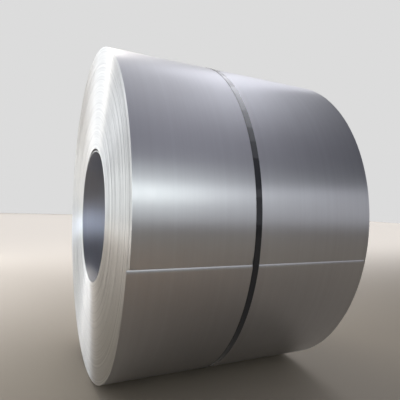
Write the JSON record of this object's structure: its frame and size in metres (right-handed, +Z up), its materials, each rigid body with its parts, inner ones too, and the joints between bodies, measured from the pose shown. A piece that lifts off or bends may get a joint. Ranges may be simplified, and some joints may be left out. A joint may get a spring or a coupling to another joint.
{
  "type": "steel coil",
  "caption": "Wound roll of bright steel strip lying on its side, with an open bore, its turns showing on the ends and a flat packing strap round its girth.",
  "frame": {"origin": "on the floor under the middle of the coil", "axes": "+X along the coil's axis from the near end to the far end, -Y to the front where the strip's free end is, +Z up"},
  "size_m": [1.0108, 1.469, 1.4706],
  "materials": {
    "strip_steel": "bright cold-rolled strip, lightly oiled",
    "strap_paint": "glossy blue-black paint",
    "seal_steel": "dark painted steel, crimped"
  },
  "bodies": {
    "root": {"steel_coil": "strip_steel", "strap": "strap_paint", "strap_seal": "seal_steel"}
  },
  "joints": []
}
